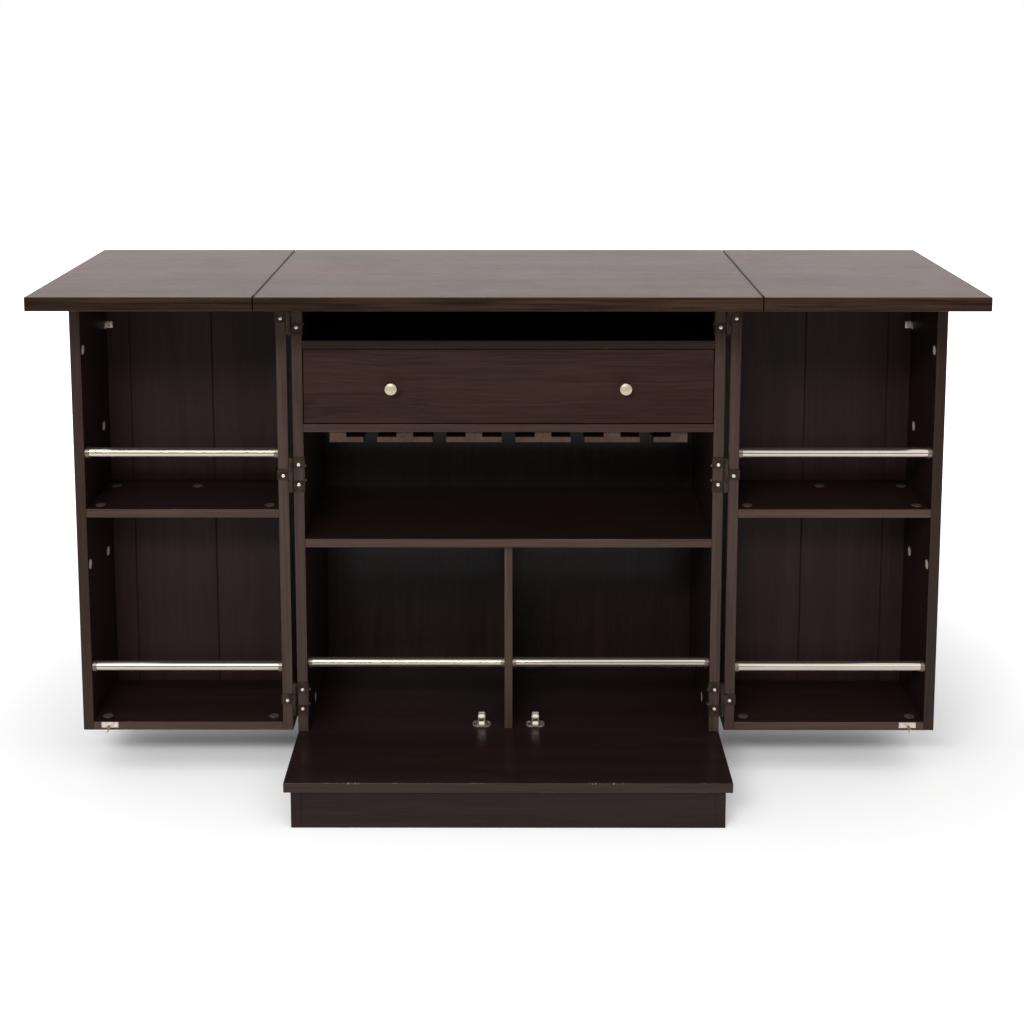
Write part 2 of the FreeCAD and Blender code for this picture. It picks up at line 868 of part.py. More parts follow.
for position, level in roller_levels().items():
    save("right_" + position + "_roller", [roller(level)])
    save("left_" + position + "_roller", [mirrored(roller(level))])
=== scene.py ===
import math

import bmesh
import bpy
from mathutils import Matrix, Vector


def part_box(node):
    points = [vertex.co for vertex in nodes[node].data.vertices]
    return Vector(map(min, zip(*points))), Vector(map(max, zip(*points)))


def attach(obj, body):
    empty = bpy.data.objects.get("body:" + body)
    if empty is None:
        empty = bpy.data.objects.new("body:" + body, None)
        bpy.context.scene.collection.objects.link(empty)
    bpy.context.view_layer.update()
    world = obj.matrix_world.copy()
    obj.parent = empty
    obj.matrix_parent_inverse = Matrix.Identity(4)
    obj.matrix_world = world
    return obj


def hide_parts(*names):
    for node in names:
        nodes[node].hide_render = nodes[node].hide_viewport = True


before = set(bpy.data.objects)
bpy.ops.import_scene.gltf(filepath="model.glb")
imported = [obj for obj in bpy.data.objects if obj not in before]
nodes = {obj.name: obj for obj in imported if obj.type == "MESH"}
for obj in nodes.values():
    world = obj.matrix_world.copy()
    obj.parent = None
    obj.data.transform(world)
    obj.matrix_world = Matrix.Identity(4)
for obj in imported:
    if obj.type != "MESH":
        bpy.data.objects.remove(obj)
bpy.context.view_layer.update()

# The fold-out bar cabinet's finish, in metres. +Z is up and -Y is the front.
scene = bpy.context.scene
bpy.ops.object.select_all(action="DESELECT")

MM = 0.001
SIDES = ("left", "right")

# View, in pixels of a frame of 1024 x 1024
frame_px = 1024
focal_px = 1564.6
axis_px = (511.0, 212.4)
sensor_width_mm = 36.0
camera_place = (8.5 * MM, -2810.4 * MM, 1413.8 * MM)
camera_pitch = math.radians(7.41)
camera_yaw = 0.0014

# Floor: how far out its glow grows to white, how far ahead reflections alone see it dim (a painted
# reflection), and the painted shade that dims its glow under the wings' rear
floor_size = 40.0
floor_albedo = 0.93
floor_glow = 0.18
floor_glow_reach = (0.8, 2.3)
dim_reflection_reach = (1.6, 2.4)
painted_reflection_colour = (0.18, 0.17, 0.16, 1.0)
shade_start = (0.03, 0.07)
shade_depth = 0.85
shade_reach = 0.35
shade_samples = 12

# World: levels, and the parts of a direction's Z or Y over which they change
sky_level = 1.45
sky_rise = (0.25, 0.85)
rear_sky_share = 0.22
rear_sky_turn = (-0.2, 0.5)
horizon_level = 0.06
backdrop_level = 0.95
backdrop_turn = (-0.35, 0.25)
front_level = 0.25
front_rise = (0.20, 0.42)
white = (1.0, 1.0, 1.0, 1.0)

# Lamps
key_place = (-1.1, -3.9, 2.9)
key_size = (2.4, 0.6)
key_power = 108
fill_place = (1.9, -3.6, 1.9)
fill_size = (2.0, 2.0)
fill_power = 12
aim_point = (0.0, 0.0, 0.5)

# Screws and small fittings
screw_points = 28
shank_points = 16
axle_points = 20
smooth_angle = math.radians(38)
bevel_angle = math.radians(35)
screw_dome_share = 0.45
screw_tip_share = 0.1
recess_depth_share = 0.55
recess_width_share = 0.26
recess_reach_share = 0.68
knob_points = 64
roller_points = 40


# Colours and node helpers

def colour(red, green, blue):
    """A display colour from 0 to 255 as the linear colour that a shader takes."""
    values = []
    for part in (red, green, blue):
        share = part / 255
        values.append(share / 12.92 if share <= 0.04045 else ((share + 0.055) / 1.055) ** 2.4)
    return (*values, 1.0)


def plug(tree, value, socket):
    """Links an output to the socket, or sets the socket to a plain value."""
    if isinstance(value, bpy.types.NodeSocket):
        tree.links.new(value, socket)
    else:
        socket.default_value = value


def add(tree, kind, inputs=None, **settings):
    made = tree.nodes.new(kind)
    for name, value in settings.items():
        setattr(made, name, value)
    for name, value in (inputs or {}).items():
        plug(tree, value, made.inputs[name])
    return made


def maths(tree, operation, *values):
    made = add(tree, "ShaderNodeMath", operation=operation)
    for socket, value in zip(made.inputs, values):
        plug(tree, value, socket)
    return made.outputs[0]


def spread(tree, value, low, high, to_low=0.0, to_high=1.0):
    """Maps low to high onto to_low to to_high, smooth at both ends."""
    made = add(tree, "ShaderNodeMapRange", interpolation_type="SMOOTHSTEP")
    for socket, given in zip(made.inputs, (value, low, high, to_low, to_high)):
        plug(tree, given, socket)
    return made.outputs[0]


def noise(tree, vector, scale, detail=3.0, roughness=0.55, distortion=0.0):
    made = add(tree, "ShaderNodeTexNoise", {
        "Vector": vector, "Scale": scale, "Detail": detail,
        "Roughness": roughness, "Distortion": distortion})
    return made.outputs["Fac"]


def stretched(tree, vector, along, across):
    """The vector with its X scaled by along, and Y and Z by across."""
    made = add(tree, "ShaderNodeVectorMath", operation="MULTIPLY")
    plug(tree, vector, made.inputs[0])
    made.inputs[1].default_value = (along, across, across)
    return made.outputs[0]


def mixed(tree, factor, first, second, blend_type="MIX"):
    made = add(tree, "ShaderNodeMix", data_type="RGBA", blend_type=blend_type)
    plug(tree, factor, made.inputs[0])
    plug(tree, first, made.inputs[6])
    plug(tree, second, made.inputs[7])
    return made.outputs[2]


def new_group(name, inputs, outputs):
    """An empty shader node group, with its inner input and output sockets."""
    tree = bpy.data.node_groups.new(name, "ShaderNodeTree")
    for label, kind, value in inputs:
        socket = tree.interface.new_socket(label, in_out="INPUT", socket_type=kind)
        if value is not None:
            socket.default_value = value
    for label, kind in outputs:
        tree.interface.new_socket(label, in_out="OUTPUT", socket_type=kind)
    entry = tree.nodes.new("NodeGroupInput").outputs
    leaving = tree.nodes.new("NodeGroupOutput").inputs
    return tree, entry, leaving


def place_group(tree, group, **inputs):
    made = add(tree, "ShaderNodeGroup", node_tree=group)
    for name, value in inputs.items():
        plug(tree, value, made.inputs[name.replace("_", " ")])
    return made.outputs


# Effects that several finishes share

# Wood grain: scales along and across the grain
sway_scales = (2.2, 5.0)
band_scales = (1.1, 24.0)
streak_scales = (4.0, 260.0)
pore_scales = (22.0, 1500.0)
warmth_scales = (3.0, 6.0)


def wood_grain_group():
    """Grain that runs along X: slow bands of tone, fine streaks, pores and a height."""
    tree, entry, leaving = new_group(
        "wood grain",
        [("Vector", "NodeSocketVector", None), ("Figure", "NodeSocketFloat", 0.5)],
        [("Tone", "NodeSocketFloat"), ("Streaks", "NodeSocketFloat"), ("Pores", "NodeSocketFloat"),
         ("Warmth", "NodeSocketFloat"), ("Height", "NodeSocketFloat")])
    vector = entry["Vector"]
    sway = noise(tree, stretched(tree, vector, *sway_scales), 1.0, 2.0)
    sway = maths(tree, "MULTIPLY", maths(tree, "SUBTRACT", sway, 0.5), entry["Figure"])
    shift = add(tree, "ShaderNodeCombineXYZ", {"Y": maths(tree, "MULTIPLY", sway, 0.05),
                                               "Z": maths(tree, "MULTIPLY", sway, 0.05)})
    bent = add(tree, "ShaderNodeVectorMath", operation="ADD")
    plug(tree, vector, bent.inputs[0])
    plug(tree, shift.outputs[0], bent.inputs[1])
    bent = bent.outputs[0]
    bands = noise(tree, stretched(tree, bent, *band_scales), 1.0, 3.0, 0.6)
    streaks = noise(tree, stretched(tree, bent, *streak_scales), 1.0, 4.0, 0.65)
    pores = noise(tree, stretched(tree, bent, *pore_scales), 1.0, 2.0, 0.5)
    clouds = noise(tree, stretched(tree, vector, *warmth_scales), 1.0, 2.0)
    plug(tree, spread(tree, bands, 0.30, 0.70), leaving["Tone"])
    plug(tree, spread(tree, streaks, 0.32, 0.68), leaving["Streaks"])
    pore_mask = spread(tree, pores, 0.60, 0.72)
    plug(tree, pore_mask, leaving["Pores"])
    plug(tree, spread(tree, clouds, 0.36, 0.64), leaving["Warmth"])
    relief = maths(tree, "SUBTRACT", maths(tree, "MULTIPLY", streaks, 0.5),
                   maths(tree, "MULTIPLY", pore_mask, 0.6))
    plug(tree, relief, leaving["Height"])
    return tree


def face_picker_group():
    """Which way a face looks on its own piece, and a mask of the eased edges between faces."""
    tree, _, leaving = new_group(
        "face picker", [],
        [("Front or rear", "NodeSocketFloat"), ("Sideways", "NodeSocketFloat"), ("Level", "NodeSocketFloat"),
         ("Eased edge", "NodeSocketFloat")])
    normal = add(tree, "ShaderNodeTexCoord").outputs["Normal"]
    parts = add(tree, "ShaderNodeSeparateXYZ", {"Vector": normal}).outputs
    across, along, up = (maths(tree, "ABSOLUTE", parts[name]) for name in "XYZ")
    plug(tree, spread(tree, along, 0.6, 0.8), leaving["Front or rear"])
    plug(tree, spread(tree, across, 0.9, 0.98), leaving["Sideways"])
    plug(tree, spread(tree, up, 0.6, 0.8), leaving["Level"])
    flattest = maths(tree, "MAXIMUM", maths(tree, "MAXIMUM", across, along), up)
    turned = spread(tree, flattest, 0.80, 0.985, 1.0, 0.0)
    # The panels' grooves are cut at 45 degrees, where the largest part of the normal is 0.707
    not_groove = spread(tree, flattest, 0.709, 0.730)
    plug(tree, maths(tree, "MULTIPLY", turned, not_groove), leaving["Eased edge"])
    return tree


def edge_wear_group():
    """Broken patches along the eased edges, where the stain has rubbed thin."""
    tree, entry, leaving = new_group(
        "edge wear",
        [("Vector", "NodeSocketVector", None), ("Edge", "NodeSocketFloat", 0.0),
         ("Amount", "NodeSocketFloat", 0.3)],
        [("Mask", "NodeSocketFloat")])
    rub = noise(tree, entry["Vector"], 60.0, 4.0, 0.65)
    start = maths(tree, "SUBTRACT", 0.72, maths(tree, "MULTIPLY", entry["Amount"], 0.5))
    broken = spread(tree, rub, start, maths(tree, "ADD", start, 0.12))
    plug(tree, maths(tree, "MULTIPLY", broken, entry["Edge"]), leaving["Mask"])
    return tree


def smudge_group():
    """Slow, faint changes of sheen, as handling and wiping leave on lacquer or metal."""
    tree, entry, leaving = new_group(
        "smudges",
        [("Vector", "NodeSocketVector", None), ("Roughness", "NodeSocketFloat", 0.4),
         ("Amount", "NodeSocketFloat", 0.1)],
        [("Roughness", "NodeSocketFloat")])
    slow = noise(tree, entry["Vector"], 7.0, 3.0, 0.6)
    change = maths(tree, "MULTIPLY", maths(tree, "SUBTRACT", slow, 0.5), entry["Amount"])
    plug(tree, maths(tree, "ADD", entry["Roughness"], change), leaving["Roughness"])
    return tree


wood_grain = wood_grain_group()
face_picker = face_picker_group()
edge_wear = edge_wear_group()
smudges = smudge_group()


# Finishes

GRAIN_TURNS = {
    "across": (0.0, 0.0, 0.0),
    "upright": (0.0, math.radians(90), 0.0),
    "front to back": (0.0, 0.0, math.radians(90)),
}
WORN_STAIN = colour(128, 100, 82)
BARE_WOOD = colour(160, 146, 136)

# Stained wood: how far bands, streaks and pores change the tone, and what wear and lacquer add
band_dark = 0.20
band_light = 0.22
streak_swing = 0.44
pore_dark = 0.35
pore_roughness = 0.12
pore_depth = 0.6 * MM
warm_tint = (1.05, 0.98, 0.97, 1.0)
cool_tint = (0.96, 1.01, 1.01, 1.0)
worn_share = 0.55
coat_roughness = 0.16

# Metal and fitting covers
dark_share = 0.72
mottle_scale = 900.0
cloud_scale = 30.0
brushing_scales = (6.0, 3000.0)
brushing_depth = 0.2 * MM
bronze_depth = 0.3 * MM
cover_depth = 0.2 * MM

# Plastic
plastic_gloss = 0.4
plastic_grain_scale = 900.0
plastic_depth = 0.3 * MM


def new_material(name):
    material = bpy.data.materials.new(name)
    material.use_nodes = True
    tree = material.node_tree
    shader = tree.nodes["Principled BSDF"]
    place = add(tree, "ShaderNodeTexCoord").outputs["Object"]
    return material, tree, shader, place


def along_grain(tree, place, grain):
    """The place turned so that the grain or the brushing runs along its X."""
    return add(tree, "ShaderNodeMapping", {"Vector": place, "Rotation": GRAIN_TURNS[grain]}).outputs[0]


def stained_wood(name, grain, face, edge, edge_faces, roughness=0.42, gloss=0.12, figure=0.4, contrast=0.7,
                 edge_contrast=1.0, wear=0.25, relief=0.16, coat=0.0, marks=None):
    """Stained veneer: darker on its faces, lighter on the banded edges that edge_faces names."""
    material, tree, shader, place = new_material(name)
    turned = along_grain(tree, place, grain)
    wood = place_group(tree, wood_grain, Vector=turned, Figure=figure)
    picked = place_group(tree, face_picker)
    if edge_faces == "rim":
        banded = maths(tree, "SUBTRACT", 1.0, picked["Level"])
    elif edge_faces == "front":
        banded = picked["Front or rear"]
    else:
        banded = 0.0
    base = mixed(tree, banded, face, edge)
    tone = spread(tree, wood["Tone"], 0.0, 1.0, 1.0 - band_dark * contrast, 1.0 + band_light * contrast)
    swing = maths(tree, "ADD", streak_swing * contrast,
                  maths(tree, "MULTIPLY", banded, streak_swing * (edge_contrast - contrast)))
    streak = maths(tree, "SUBTRACT", wood["Streaks"], 0.5)
    streak = maths(tree, "ADD", 1.0, maths(tree, "MULTIPLY", streak, swing))
    pores = spread(tree, wood["Pores"], 0.0, 1.0, 1.0, 1.0 - pore_dark * contrast)
    shade = maths(tree, "MULTIPLY", maths(tree, "MULTIPLY", tone, streak), pores)
    grey = add(tree, "ShaderNodeCombineColor", {"Red": shade, "Green": shade, "Blue": shade}).outputs[0]
    base = mixed(tree, 1.0, base, grey, "MULTIPLY")
    warm = mixed(tree, wood["Warmth"], warm_tint, cool_tint)
    base = mixed(tree, 1.0, base, warm, "MULTIPLY")
    worn = place_group(tree, edge_wear, Vector=place, Edge=picked["Eased edge"], Amount=wear)["Mask"]
    base = mixed(tree, maths(tree, "MULTIPLY", worn, worn_share), base, WORN_STAIN)
    if marks:
        base = mixed(tree, marks(tree, place), base, BARE_WOOD)
    plug(tree, base, shader.inputs["Base Color"])
    sheen = place_group(tree, smudges, Vector=place, Roughness=roughness, Amount=0.10)["Roughness"]
    rough_pores = maths(tree, "MULTIPLY", wood["Pores"], pore_roughness)
    plug(tree, maths(tree, "ADD", sheen, rough_pores), shader.inputs["Roughness"])
    shader.inputs["Specular IOR Level"].default_value = gloss
    if coat:
        shader.inputs["Coat Weight"].default_value = coat
        shader.inputs["Coat Roughness"].default_value = coat_roughness
    bump = add(tree, "ShaderNodeBump", {"Height": wood["Height"], "Strength": relief, "Distance": pore_depth})
    plug(tree, bump.outputs[0], shader.inputs["Normal"])
    return material


def bright_metal(name, base, roughness, metallic=1.0, lines_along=None, mottle=0.0):
    """Plated or brushed metal, with fine lines along X or a soft mottle."""
    material, tree, shader, place = new_material(name)
    cloud = noise(tree, place, mottle_scale if mottle else cloud_scale, 3.0, 0.6)
    dark = tuple(part * dark_share for part in base[:3]) + (1.0,)
    if lines_along:
        turned = along_grain(tree, place, lines_along)
        height = noise(tree, stretched(tree, turned, *brushing_scales), 1.0, 2.0, 0.5)
    else:
        height = cloud
    patches = spread(tree, cloud, 0.3, 0.7, 0.0, 0.12 + mottle)
    plug(tree, mixed(tree, patches, base, dark), shader.inputs["Base Color"])
    shader.inputs["Metallic"].default_value = metallic
    sheen = place_group(tree, smudges, Vector=place, Roughness=roughness, Amount=0.06)["Roughness"]
    plug(tree, maths(tree, "ADD", sheen, maths(tree, "MULTIPLY", height, 0.03)), shader.inputs["Roughness"])
    bump = add(tree, "ShaderNodeBump", {"Height": height, "Strength": 0.05, "Distance": brushing_depth})
    plug(tree, bump.outputs[0], shader.inputs["Normal"])
    return material


def dark_bronze(name):
    """Oil-rubbed bronze: near black, rubbed brown on its edges."""
    material, tree, shader, place = new_material(name)
    picked = place_group(tree, face_picker)
    cloud = spread(tree, noise(tree, place, 120.0, 4.0), 0.35, 0.70)
    base = mixed(tree, cloud, colour(42, 30, 22), colour(58, 43, 32))
    rubbed = place_group(tree, edge_wear, Vector=place, Edge=picked["Eased edge"], Amount=0.5)["Mask"]
    plug(tree, mixed(tree, rubbed, base, colour(74, 62, 54)), shader.inputs["Base Color"])
    plug(tree, maths(tree, "SUBTRACT", 0.8, maths(tree, "MULTIPLY", cloud, 0.2)), shader.inputs["Metallic"])
    sheen = place_group(tree, smudges, Vector=place, Roughness=0.48, Amount=0.2)["Roughness"]
    plug(tree, sheen, shader.inputs["Roughness"])
    bump = add(tree, "ShaderNodeBump", {"Height": cloud, "Strength": 0.10, "Distance": bronze_depth})
    plug(tree, bump.outputs[0], shader.inputs["Normal"])
    return material


def moulded_plastic(name, base, shade, roughness):
    """Matt plastic with a fine moulded grain and a faint change of tone."""
    material, tree, shader, place = new_material(name)
    cloud = spread(tree, noise(tree, place, 90.0, 3.0), 0.3, 0.7)
    plug(tree, mixed(tree, cloud, base, shade), shader.inputs["Base Color"])
    sheen = place_group(tree, smudges, Vector=place, Roughness=roughness, Amount=0.12)["Roughness"]
    plug(tree, sheen, shader.inputs["Roughness"])
    shader.inputs["Specular IOR Level"].default_value = plastic_gloss
    grain = noise(tree, place, plastic_grain_scale, 2.0)
    bump = add(tree, "ShaderNodeBump", {"Height": grain, "Strength": 0.10, "Distance": plastic_depth})
    plug(tree, bump.outputs[0], shader.inputs["Normal"])
    return material


def fitting_cover(name):
    """Covers of the joint fittings: pale zinc on the upright boards, brown on the level ones."""
    material, tree, shader, place = new_material(name)
    picked = place_group(tree, face_picker)
    cloud = spread(tree, noise(tree, place, 260.0, 3.0), 0.3, 0.7)
    pale = mixed(tree, cloud, colour(236, 222, 204), colour(196, 180, 162))
    brown = mixed(tree, cloud, colour(88, 76, 70), colour(62, 52, 48))
    plug(tree, mixed(tree, picked["Sideways"], brown, pale), shader.inputs["Base Color"])
    sheen = place_group(tree, smudges, Vector=place, Roughness=0.45, Amount=0.15)["Roughness"]
    plug(tree, sheen, shader.inputs["Roughness"])
    bump = add(tree, "ShaderNodeBump", {"Height": cloud, "Strength": 0.08, "Distance": cover_depth})
    plug(tree, bump.outputs[0], shader.inputs["Normal"])
    return material


CHIP_REACH = (1.4 * MM, 2.2 * MM)


def front_edge_chips(tree, place):
    """Small chips in the lacquer along the deck's upper front edge."""
    low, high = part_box("deck")
    parts = add(tree, "ShaderNodeSeparateXYZ", {"Vector": place}).outputs
    off_front = maths(tree, "ABSOLUTE", maths(tree, "SUBTRACT", parts["Y"], low.y))
    off_top = maths(tree, "ABSOLUTE", maths(tree, "SUBTRACT", parts["Z"], high.z))
    near = spread(tree, maths(tree, "MAXIMUM", off_front, off_top), *CHIP_REACH, 1.0, 0.0)
    line = add(tree, "ShaderNodeCombineXYZ", {"X": parts["X"]}).outputs[0]
    chips = spread(tree, noise(tree, line, 190.0, 2.0), 0.56, 0.62)
    clusters = spread(tree, noise(tree, line, 9.0, 1.0), 0.52, 0.62)
    return maths(tree, "MULTIPLY", maths(tree, "MULTIPLY", near, chips), clusters)


STAIN_FACE = colour(36, 24, 21)
STAIN_EDGE = colour(74, 57, 49)
# Painted shade: a darker face for the niche floor, standing for the shade under the top's overhang
NICHE_FACE_PAINTED_SHADE = colour(31, 22, 18)
STAIN_PANEL = colour(42, 29, 27)
STAIN_BACK = colour(35, 25, 21)
STAIN_PLINTH = colour(39, 28, 26)

FINISHES = {
    "top": stained_wood("top veneer", "across", colour(80, 48, 38), colour(45, 31, 24), "rim",
                        roughness=0.27, gloss=0.12, figure=0.3, contrast=1.0, edge_contrast=2.5, wear=0.15,
                        relief=0.03),
    "deck": stained_wood("deck veneer", "across", colour(33, 20, 19), colour(46, 34, 29), "rim",
                         roughness=0.30, wear=0.3, coat=0.15, marks=front_edge_chips),
    "shelf": stained_wood("shelf veneer", "across", STAIN_FACE, STAIN_EDGE, "front", roughness=0.36),
    "rack board": stained_wood("rack board veneer", "across", STAIN_FACE, colour(63, 47, 40), "front"),
    # The niche floor's darker face and edge are painted shade from the top's overhang
    "niche floor": stained_wood("niche floor veneer", "across", NICHE_FACE_PAINTED_SHADE, colour(45, 33, 26), "front"),
    "side": stained_wood("side veneer", "upright", STAIN_FACE, colour(65, 51, 44), "front", roughness=0.40),
    "divider": stained_wood("divider veneer", "upright", STAIN_FACE, STAIN_EDGE, "front", roughness=0.40),
    "hinged side": stained_wood("hinged side veneer", "upright", STAIN_FACE, colour(65, 51, 45), "front"),
    # Painted shade: the outer sides' front edges are darker than the hinged sides' edges of the same veneer
    "outer side": stained_wood("outer side veneer", "upright", STAIN_FACE, colour(49, 36, 30), "front"),
    "panel": stained_wood("panel veneer", "upright", STAIN_PANEL, STAIN_PANEL, "none", roughness=0.46,
                          figure=0.6, contrast=0.5),
    "body back": stained_wood("body back board", "upright", STAIN_BACK, STAIN_BACK, "none", roughness=0.22,
                              gloss=0.20),
    "plinth": stained_wood("plinth veneer", "across", STAIN_PLINTH, STAIN_PLINTH, "none", roughness=0.45),
    "drawer front": stained_wood("drawer veneer", "across", colour(43, 26, 20), colour(50, 34, 28), "rim",
                                 roughness=0.40, gloss=0.08, figure=0.9, contrast=0.6, wear=0.2),
    "stem rail": stained_wood("stem rail wood", "front to back", STAIN_FACE, STAIN_EDGE, "front"),
    "drawer box": stained_wood("drawer box wood", "front to back", colour(122, 92, 66), colour(140, 110, 82),
                               "none", roughness=0.55, figure=0.7, wear=0.1),
    "rail": bright_metal("brushed rail", colour(192, 183, 171), 0.08, metallic=0.9, lines_along="across"),
    "socket": bright_metal("rail cup", colour(118, 106, 96), 0.34, metallic=0.9),
    "nickel": bright_metal("satin nickel", colour(206, 194, 172), 0.45, mottle=0.40),
    "bronze": dark_bronze("oil rubbed bronze"),
    "pin": dark_bronze("dark pin steel"),
    "screw": bright_metal("bright screw", colour(222, 214, 202), 0.34),
    "catch": bright_metal("zinc plate", colour(214, 202, 190), 0.44, metallic=0.86, mottle=0.1),
    "roller": moulded_plastic("off white roller", colour(244, 238, 224), colour(230, 222, 206), 0.40),
    "cap": fitting_cover("fitting cover"),
    "slide": bright_metal("zinc slide", colour(150, 150, 150), 0.38, lines_along="front to back"),
}

NODE_FINISHES = {
    "top": ["centre_top", "left_top_leaf", "right_top_leaf"],
    "deck": ["deck"],
    "shelf": ["middle_shelf"],
    "rack board": ["drawer_board"],
    "niche floor": ["niche_floor"],
    "side": ["body_sides"],
    "divider": ["divider"],
    "body back": ["body_back"],
    "plinth": ["plinth_rails", "plinth_sides"],
    "drawer front": ["drawer_front"],
    "stem rail": ["stemware_rails"],
    "drawer box": ["drawer_sides", "drawer_back", "drawer_floor"],
    "rail": ["body_bottle_rails"],
    "socket": ["body_rail_sockets"],
    "bronze": ["body_hinge_leaves", "top_hinge_fixed_leaves"],
    "pin": ["hinge_pins"],
    "catch": ["catch_housings"],
    "cap": ["body_caps"],
    "slide": ["slide_channels", "drawer_runners"],
}
WING_FINISHES = {
    "hinged side": ["wing_inner_side"],
    "outer side": ["wing_outer_side"],
    "shelf": ["wing_top", "wing_shelf", "wing_floor"],
    "panel": ["wing_back"],
    "rail": ["wing_bottle_rails"],
    "socket": ["wing_rail_sockets"],
    "bronze": ["wing_hinge_leaves", "top_leaf_hinge"],
    "catch": ["wing_strike"],
    "cap": ["wing_caps"],
}


def finish(piece, name):
    """Gives every face of a piece one finish."""
    piece.data.materials.clear()
    piece.data.materials.append(FINISHES[name])


for name, members in NODE_FINISHES.items():
    for member in members:
        finish(nodes[member], name)
for side in SIDES:
    for name, members in WING_FINISHES.items():
        for member in members:
            finish(nodes[side + "_" + member], name)


# Modelling helpers

def solids_of(node):
    """The points of each separate solid of a CAD node."""
    mesh = bmesh.new()
    mesh.from_mesh(nodes[node].data)
    bmesh.ops.remove_doubles(mesh, verts=mesh.verts, dist=1e-6)
    waiting = set(mesh.verts)
    found = []
    while waiting:
        start = min(waiting, key=lambda point: point.index)
        group, edge = {start}, [start]
        while edge:
            point = edge.pop()
            for link in point.link_edges:
                other = link.other_vert(point)
                if other not in group:
                    group.add(other)
                    edge.append(other)
        waiting -= group
        found.append([point.co.copy() for point in sorted(group, key=lambda point: point.index)])
    mesh.free()
    return found


def corners_of(points):
    low = Vector(min(point[axis] for point in points) for axis in range(3))
    high = Vector(max(point[axis] for point in points) for axis in range(3))
    return low, high


def edit(piece):
    if bpy.context.mode != "OBJECT":
        bpy.ops.object.mode_set(mode="OBJECT")
    bpy.ops.object.select_all(action="DESELECT")
    piece.select_set(True)
    bpy.context.view_layer.objects.active = piece
    bpy.ops.object.mode_set(mode="EDIT")


def turned_piece(name, stations, points):
    """A turned piece on the Z axis: a round face drawn up through rings of (height, radius)."""
    start_height, start_radius = stations[0]
    bpy.ops.mesh.primitive_circle_add(vertices=points, radius=start_radius, fill_type="NGON",
                                      location=(0, 0, start_height))
    piece = bpy.context.object
    piece.name = name
    edit(piece)
    height, radius = start_height, start_radius
    for next_height, next_radius in stations[1:]:
        bpy.ops.mesh.extrude_region_move(TRANSFORM_OT_translate={"value": (0, 0, next_height - height)})
        share = next_radius / radius
        bpy.ops.transform.resize(value=(share, share, 1))
        height, radius = next_height, next_radius
    bpy.ops.mesh.select_all(action="SELECT")
    bpy.ops.mesh.normals_make_consistent(inside=False)
    bpy.ops.object.mode_set(mode="OBJECT")
    bpy.ops.object.transform_apply(location=True, rotation=True, scale=True)
    bpy.ops.object.shade_smooth_by_angle(angle=smooth_angle)
    return piece


def cut(piece, tool):
    """Cuts the tool out of the piece and deletes the tool."""
    change = piece.modifiers.new("cut", "BOOLEAN")
    change.operation = "DIFFERENCE"
    change.solver = "EXACT"
    change.object = tool
    bpy.ops.object.select_all(action="DESELECT")
    bpy.context.view_layer.objects.active = piece
    piece.select_set(True)
    bpy.ops.object.modifier_apply(modifier=change.name)
    bpy.data.objects.remove(tool, do_unlink=True)


def joined(name, pieces):
    bpy.ops.object.select_all(action="DESELECT")
    for piece in pieces:
        piece.select_set(True)
    bpy.context.view_layer.objects.active = pieces[0]
    if len(pieces) > 1:
        bpy.ops.object.join()
    result = bpy.context.view_layer.objects.active
    result.name = name
    bpy.ops.object.select_all(action="DESELECT")
    return result


def copy_to(template, place, way=None):
    """A copy of a piece on the origin, moved to place, with its Z axis turned along way if one is given."""
    piece = template.copy()
    piece.data = template.data.copy()
    scene.collection.objects.link(piece)
    if way is not None:
        piece.data.transform(Vector(way).to_track_quat("Z", "Y").to_matrix().to_4x4())
    piece.data.transform(Matrix.Translation(place))
    return piece


def remove(piece):
    bpy.data.objects.remove(piece, do_unlink=True)


def arc_stations(centre_height, radius, start_angle, end_angle, steps):
    """Points (height, radius) along an arc about a centre on the axis; angles are from the axis."""
    stations = []
    for step in range(steps + 1):
        angle = start_angle + (end_angle - start_angle) * step / steps
        stations.append((centre_height + radius * math.cos(angle), radius * math.sin(angle)))
    return stations


# Screws with a cross recess

def screw_template(head_radius, head_height, shank_radius, length):
    """A pan-head screw whose head stands on the origin along Z, with its shank below."""
    dome_height = head_height * screw_dome_share
    ball = (head_radius ** 2 + dome_height ** 2) / (2 * dome_height)
    edge_angle = math.asin(head_radius / ball)
    dome = arc_stations(head_height - ball, ball, edge_angle, edge_angle * 0.06, 5)
    head = turned_piece("screw_head", [(0, head_radius * 0.97), (head_height * 0.12, head_radius)] + dome,
                        screw_points)
    for turn in (0, math.radians(90)):
        bpy.ops.mesh.primitive_cube_add(size=1, location=(0, 0, head_height))
        blade = bpy.context.object
        blade.scale = (2 * head_radius * recess_reach_share, head_radius * recess_width_share,
                       2 * head_height * recess_depth_share)
        blade.rotation_euler = (0, 0, turn)
        bpy.ops.object.transform_apply(location=True, rotation=True, scale=True)
        cut(head, blade)
    tip = length - 2 * shank_radius
    stations = [(-length, shank_radius * screw_tip_share), (-tip, shank_radius), (0, shank_radius)]
    shank = turned_piece("screw_shank", stations, shank_points)
    return joined("screw_template", [head, shank])


def screw_seats(points, head_height):
    """Where a screw's head seats and the way it stands out, from the points of its solid."""
    low, high = corners_of(points)
    size = high - low
    axis = max(range(3), key=lambda index: size[index])
    middle = (low + high) / 2
    across = [index for index in range(3) if index != axis]
    head_radius = max(size[index] for index in across) / 2
    rim = [point for point in points
           if math.hypot(*(point[index] - middle[index] for index in across)) > head_radius * 0.95]
    rim_level = sum(point[axis] for point in rim) / len(rim)
    way = Vector((0, 0, 0))
    way[axis] = 1 if rim_level > middle[axis] else -1
    seat = middle.copy()
    seat[axis] = (high[axis] if way[axis] > 0 else low[axis]) - way[axis] * head_height
    return seat, way, size[axis] - head_height


HEAD_RADIUS = 3.0 * MM
HEAD_HEIGHT = 1.4 * MM
SHANK_RADIUS = 1.7 * MM


